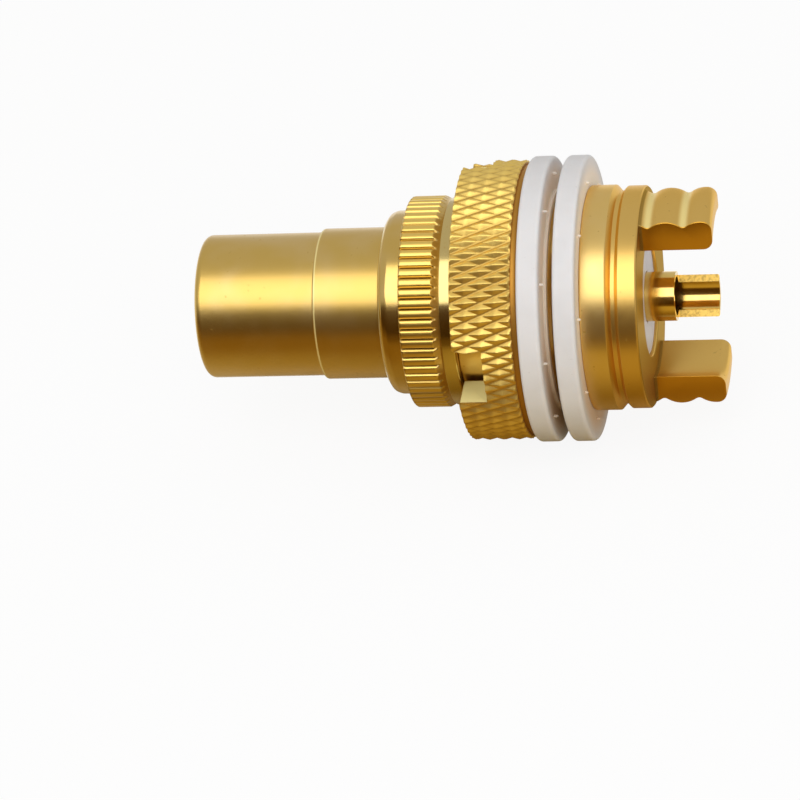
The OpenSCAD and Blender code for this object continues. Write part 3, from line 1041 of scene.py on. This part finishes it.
def washer(name, node):
    """A shouldered washer in its node's place, with its boss towards the panel."""
    low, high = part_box(node)
    front, rear, rim = low.y / MM, high.y / MM, high.x / MM
    if node == "front_washer":
        seat, face, boss = rear - BOSS_LEN, front, rear
    else:
        seat, face, boss = front + BOSS_LEN, rear, front
    outline = [
        (face, WASHER_BORE, 0.08),
        (face, rim, WASHER_ROUND),
        (seat, rim, WASHER_ROUND),
        (seat, BOSS_R, 0.06),
        (boss, BOSS_R, 0.05),
        (boss, WASHER_BORE, 0.05),
    ]
    return turned(name, rounded(outline, 6), even_columns(WASHER_COLUMNS))


def nub(y, radius, angle, height):
    """A tiny round-ended pin that stands out of a face at y."""
    made = bmesh.new()
    bmesh.ops.create_uvsphere(made, u_segments=12, v_segments=8, radius=MM)
    middle = Vector((radius * math.cos(angle), y, radius * math.sin(angle))) * MM
    for vert in made.verts:
        vert.co = middle + Vector((vert.co.x * NUB_R, vert.co.y * height, vert.co.z * NUB_R))
    return keep_mesh("nub", made)


def nub_ring(y, count, radius, turn, height):
    """A ring of nubs on a face, the first at a turn in degrees."""
    return [nub(y, radius, math.radians(turn + k * 360 / count), height) for k in range(count)]


front_washer = washer("nylon_washer_front", "front_washer")
front_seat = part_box("front_washer")[1].y / MM - BOSS_LEN
combine(front_washer, nub_ring(front_seat, *FRONT_NUBS), "UNION")
dress(front_washer, "front_washer", "washer", washer_white, crease=40)
rear_washer = washer("nylon_washer_rear", "rear_washer")
combine(rear_washer, nub_ring(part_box("rear_washer")[1].y / MM, *REAR_NUBS), "UNION")
dress(rear_washer, "rear_washer", "jack", washer_white, crease=40)

# %% [markdown]
# ## Ground tabs
# Two strips are left standing behind the body's rear ring when its sides are milled away:
# the ground tabs, whose backs are turned in lobes. A tab is a slice of a turned ring, so
# each point of the lobed section is moved sideways and kept at its own distance from the
# axis. The milled edges are eased by drawing the section in a little over the last steps.

# %% Tab section
body_low, body_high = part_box("rear_body")
REAR_FACE, TAB_END = 4.5, body_high.y / MM
TAB_W, TAB_INNER, TAB_CREST, TAB_VALLEY = 3.9, 4.65, 6.35, 5.95
TAB_PITCH, TAB_FIRST_VALLEY, TAB_ROUND, TAB_EASE = 2.0, 0.48, 0.55, 0.05
TAB_ROOT, VALLEY_EASE = 0.3, 0.16
ARC_STEPS, INNER_STEPS, BACK_STEPS, EASE_STEPS = 8, 12, 40, 4
ACROSS = [-0.9 + 0.2 * k for k in range(10)]


def arc_lobe(s):
    """Radius of a row of arcs at a distance s behind the ring, with sharp valleys."""
    rise, half_pitch = TAB_CREST - TAB_VALLEY, TAB_PITCH / 2
    radius = (half_pitch**2 + rise**2) / (2 * rise)
    off = ((s - TAB_FIRST_VALLEY) % TAB_PITCH) - half_pitch
    return TAB_CREST - radius + math.sqrt(radius**2 - off**2)


def lobe(s):
    """Radius of a tab's back, with the valleys rounded by a running mean."""
    shifts = [VALLEY_EASE * (2 * k / ARC_STEPS - 1) for k in range(ARC_STEPS + 1)]
    spread = [arc_lobe(s + shift) for shift in shifts]
    return sum(spread) / len(spread)


def tab_section():
    """Closed outline of a tab in (y, r), from the ring to its rounded end."""
    end = TAB_END - TAB_ROUND
    back_end = TAB_END - REAR_FACE - TAB_ROUND
    quarter = [math.pi / 2 * k / ARC_STEPS for k in range(ARC_STEPS + 1)]
    points = [(REAR_FACE - TAB_ROOT, TAB_INNER), (REAR_FACE, TAB_INNER)]
    points += [(REAR_FACE + back_end * k / INNER_STEPS, TAB_INNER) for k in range(1, INNER_STEPS)]
    for a in quarter:
        points.append((end + TAB_ROUND * math.sin(a), TAB_INNER + TAB_ROUND * (1 - math.cos(a))))
    top = lobe(back_end)
    for a in quarter:
        points.append((end + TAB_ROUND * math.cos(a), top - TAB_ROUND + TAB_ROUND * math.sin(a)))
    for k in range(1, BACK_STEPS + 1):
        s = back_end * (1 - k / BACK_STEPS)
        points.append((REAR_FACE + s, lobe(s)))
    points.append((REAR_FACE - TAB_ROOT, lobe(0)))
    return [Vector(point) for point in points]


print("tab section:", len(tab_section()), "points")


# %% Tabs
def drawn_in(points, amount):
    """A closed outline moved inwards by an amount, square to its own run."""
    moved = []
    for i, here in enumerate(points):
        run = (points[(i + 1) % len(points)] - points[i - 1]).normalized()
        moved.append(here + Vector((-run.y, run.x)) * amount)
    return moved


def ground_tab(name, side):
    """One tab, above (+1) or below (-1) the axis."""
    section = tab_section()
    slices = []
    for k in range(EASE_STEPS + 1):
        a = math.pi / 2 * k / EASE_STEPS
        slices.append((TAB_W / 2 - TAB_EASE * (1 - math.sin(a)), TAB_EASE * (1 - math.cos(a))))
    plan = [(-u, inset) for u, inset in reversed(slices)]
    plan += [(share * TAB_W / 2, 0.0) for share in ACROSS]
    plan += slices
    rows = []
    for u, inset in plan:
        points = drawn_in(section, inset)
        rows.append([(u * MM, p.x * MM, side * math.sqrt(p.y**2 - u**2) * MM) for p in points])
    return swept(name, rows)


tabs = [ground_tab("tab_above", 1), ground_tab("tab_below", -1)]
print("tabs:", [tab.name for tab in tabs])

# %% [markdown]
# ## The body
# The body carries the panel thread, a grooved flange and the ring at the rear. The thread's
# V groove is made on the lathe too: it lowers the radius by an amount that depends on both
# the place and the angle. The tabs are joined on last, so that the body is one closed mesh.

# %% Rear body
BODY_FRONT, FLANGE_R = body_low.y / MM, body_high.x / MM
NECK_R, THREAD_R, THREAD_FRONT, THREAD_PITCH, THREAD_DEPTH = 5.5, 5.7, -4.14, 0.5, 0.16
FLANGE_FRONT, GROOVE_FRONT, GROOVE_REAR = 1.25, 2.79, 3.25
GROOVE_R, REAR_RING_R = 6.1, 6.375
BODY_BORE, BODY_SEAT, REAR_BORE = 4.53, -0.07, 3.4
GOLD_BODY, GOLD_RING = (0.86, 0.6, 0.2), (0.82, 0.53, 0.14)
GRAZE_BODY = (0.95, 0.76, 0.42)
MATT_BODY, BODY_COLUMNS = 0.26, 256
thread_start = THREAD_FRONT + THREAD_R - NECK_R


def threaded(y, r, angle):
    """Lowers points of the panel thread into its V groove."""
    if not THREAD_FRONT + 0.25 < y < FLANGE_FRONT - 0.1 or r < THREAD_R - 0.01:
        return r
    turns = y / THREAD_PITCH - angle / (2 * math.pi)
    return r - THREAD_DEPTH * abs(2 * (turns % 1) - 1)


body_outline = [
    (REAR_FACE, REAR_BORE, 0.1),
    (BODY_SEAT, REAR_BORE, 0),
    (BODY_SEAT, BODY_BORE, 0),
    (BODY_FRONT, BODY_BORE, 0.08),
    (BODY_FRONT, NECK_R, 0.08),
    (THREAD_FRONT, NECK_R, 0.03),
    (thread_start, THREAD_R, 0),
    *between_points((thread_start, THREAD_R), (FLANGE_FRONT, THREAD_R), 64),
    (FLANGE_FRONT, THREAD_R, 0),
    (FLANGE_FRONT, FLANGE_R, 0.1),
    (GROOVE_FRONT - 0.1, FLANGE_R, 0.06),
    (GROOVE_FRONT + 0.2, GROOVE_R, 0.06),
    (GROOVE_REAR, GROOVE_R, 0.08),
    (GROOVE_REAR, REAR_RING_R - 0.17, 0.04),
    (GROOVE_REAR + 0.17, REAR_RING_R, 0.05),
    (REAR_FACE - 0.1, REAR_RING_R, 0.05),
    (REAR_FACE, REAR_RING_R - 0.1, 0.04),
]
body = turned("rear_body_shell", rounded(body_outline), even_columns(BODY_COLUMNS), threaded)
combine(body, tabs, "UNION")
body_gold = satin_gold(
    "satin_gold_body",
    GOLD_BODY,
    MATT_BODY,
    (GROOVE_FRONT - 0.08, TAB_END + 0.1, GOLD_RING),
    GRAZE_BODY,
    tabs=(REAR_FACE, REAR_FACE + TAB_FIRST_VALLEY, TAB_PITCH, TAB_VALLEY - 0.1, TAB_W / 2),
)
dress(body, "rear_body", "jack", body_gold, crease=36)

# %% [markdown]
# ## Insulators
# Two PTFE sleeves hold the contact clear of the shell. Only their end faces show: the
# front one down the barrel's mouth and the rear one round the contact's stem. They are
# plain turned rings, rounded a little where a lathe tool would break the edge.

# %% Front insulator
sleeve_low, sleeve_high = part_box("front_insulator")
SLEEVE_FRONT, SLEEVE_REAR = sleeve_low.y / MM, sleeve_high.y / MM
FLANGE_SEAT, SLEEVE_COLUMNS = sleeve_high.x / MM, 128
SLEEVE_R, PIN_HOLE, FINGER_ROOM, RECESS_R = 3.28, 2.0, 2.35, 3.12
CONTACT_FRONT, STACK_FRONT, SHOULDER_FRONT = -18.92, -2.87, -2.27
sleeve_outline = [
    (SLEEVE_REAR, RECESS_R, 0),
    (SLEEVE_REAR, FLANGE_SEAT, 0.06),
    (STACK_FRONT, FLANGE_SEAT, 0.06),
    (STACK_FRONT, SLEEVE_R, 0),
    (SLEEVE_FRONT, SLEEVE_R, 0.12),
    (SLEEVE_FRONT, PIN_HOLE, 0.2),
    (CONTACT_FRONT, PIN_HOLE, 0),
    (CONTACT_FRONT, FINGER_ROOM, 0),
    (SHOULDER_FRONT, FINGER_ROOM, 0),
    (SHOULDER_FRONT, RECESS_R, 0),
]
sleeve = turned("front_sleeve", rounded(sleeve_outline), even_columns(SLEEVE_COLUMNS))
dress(sleeve, "front_insulator", "jack", sleeve_white, crease=40)

# %% Rear insulator
bush_low, bush_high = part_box("rear_insulator")
BUSH_REAR, BUSH_FRONT = bush_high.y / MM, bush_low.y / MM
BUSH_R, STEM_HOLE = 3.38, 1.445
bush_outline = [
    (BUSH_FRONT, STEM_HOLE, 0),
    (BUSH_FRONT, FLANGE_SEAT, 0.06),
    (BODY_SEAT, FLANGE_SEAT, 0.06),
    (BODY_SEAT, BUSH_R, 0),
    (BUSH_REAR, BUSH_R, 0.1),
    (BUSH_REAR, STEM_HOLE, 0.08),
]
bush = turned("rear_bush", rounded(bush_outline), even_columns(SLEEVE_COLUMNS))
dress(bush, "rear_insulator", "jack", sleeve_white, crease=40)

# %% [markdown]
# ## Bright gold
# The contact is polished, with the faint rings that a lathe tool leaves, and coarse where
# a saw went through. Lathe rings need no drawing: noise along one axis alone makes them.
# The sawn face is a plane, so its mask is a thin slab of places, square to the cut.

# %% Bright gold
GOLD, GOLD_WORN = (0.86, 0.585, 0.16), (0.88, 0.62, 0.2)
GOLD_SAWN = (0.95, 0.66, 0.17)
CHIP_SIZE, RING_SIZE, WEAR_SIZE = 0.16, 0.06, 0.8


def bright_gold(name, front, depth, turn):
    """Polished gold plate with faint lathe rings, and coarse where it was sawn.

    The sawn face lies behind front, at a depth from the axis, square to a turn about Y.
    """
    gold = Finish(name)
    a = math.radians(turn)
    out = gold.axis("X") * math.cos(a) + gold.axis("Z") * math.sin(a)
    sawn = out.between(depth - 0.02, depth + 0.02, 0.01) * gold.axis("Y").past(front, front + 0.02)
    chips = gold.noise(CHIP_SIZE)
    rings = gold.node(
        "TexNoise",
        {"noise_dimensions": "1D"},
        {"W": gold.axis("Y"), "Scale": 1 / (RING_SIZE * MM), "Detail": 2.0},
    )
    cloud = gold.noise(WEAR_SIZE)
    colour = gold.mix(cloud.step(0.3, 0.7), GOLD, GOLD_WORN)
    rough_cut = gold.mix(chips.step(0.3, 0.6), GOLD_DEEP, GOLD_SAWN)
    return gold.surface(
        Base_Color=gold.mix(sawn, colour, rough_cut),
        Metallic=1.0,
        Roughness=(0.1 + 0.08 * cloud) * (1 - sawn) + 0.45 * sawn,
        Normal=gold.bump(0.1 * rings * (1 - sawn) + chips * sawn, 0.02, 0.4),
    )


print("bright gold ready")

# %% [markdown]
# ## The centre contact
# The contact is one polished pin: a socket of sprung fingers in front, a shoulder, a stem
# and a solder cup. The lathe makes the round part with both bores already in its outline.
# Slits and the open side of the cup are saw cuts, so they are Boolean cuts here too.

# %% Centre contact
pin_low, pin_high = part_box("centre_contact")
PIN_FRONT, CUP_END = pin_low.y / MM, pin_high.y / MM
SHOULDER_R, SHOULDER_REAR = 3.1, -1.47
SOCKET_R, FINGER_R, SOCKET_FLOOR = 1.6, 2.2, -5.42
STEM_R, CUP_R, CUP_FRONT, CUP_FLOOR, DRILL_TIP = 1.425, 1.1, 6.0, 3.5, 0.5
SLIT_W, SLIT_LEN = 0.35, 10.0
CUP_CUT, CUP_TURN = 0.75, 33.0
SAW_REACH, PIN_COLUMNS = 3, 96


def block(name, low, high, turn):
    """A box between two corners in millimetres, turned about the jack's axis."""
    made = bmesh.new()
    bmesh.ops.create_cube(made, size=1)
    size = Vector(high) - Vector(low)
    middle = (Vector(high) + Vector(low)) / 2
    for vert in made.verts:
        vert.co = Vector([(vert.co[i] * size[i] + middle[i]) * MM for i in range(3)])
    spin(made, turn)
    return keep_mesh(name, made)


pin_outline = [
    (CUP_FLOOR - DRILL_TIP, 0, 0),
    (CUP_FLOOR, CUP_R, 0),
    (CUP_END, CUP_R, 0.05),
    (CUP_END, STEM_R, 0.1),
    (SHOULDER_REAR, STEM_R, 0),
    (SHOULDER_REAR, SHOULDER_R, 0.05),
    (SHOULDER_FRONT, SHOULDER_R, 0.05),
    (SHOULDER_FRONT, FINGER_R, 0),
    (PIN_FRONT, FINGER_R, 0.12),
    (PIN_FRONT, SOCKET_R, 0.2),
    (SOCKET_FLOOR, SOCKET_R, 0),
    (SOCKET_FLOOR, 0, 0),
]
pin = turned("contact_pin", rounded(pin_outline), even_columns(PIN_COLUMNS))
slit_low = (-SAW_REACH, PIN_FRONT - 1, -SLIT_W / 2)
slit_high = (SAW_REACH, PIN_FRONT + SLIT_LEN, SLIT_W / 2)
cuts = [block("slit", slit_low, slit_high, turn) for turn in (0, 90)]
cup_low, cup_high = (-CUP_CUT, CUP_FRONT, -SAW_REACH), (SAW_REACH, CUP_END + 1, SAW_REACH)
cuts.append(block("cup_side", cup_low, cup_high, CUP_TURN))
combine(pin, cuts, "DIFFERENCE")
contact_gold = bright_gold("bright_gold_contact", CUP_FRONT, -CUP_CUT, CUP_TURN)
dress(pin, "centre_contact", "jack", contact_gold, crease=34)
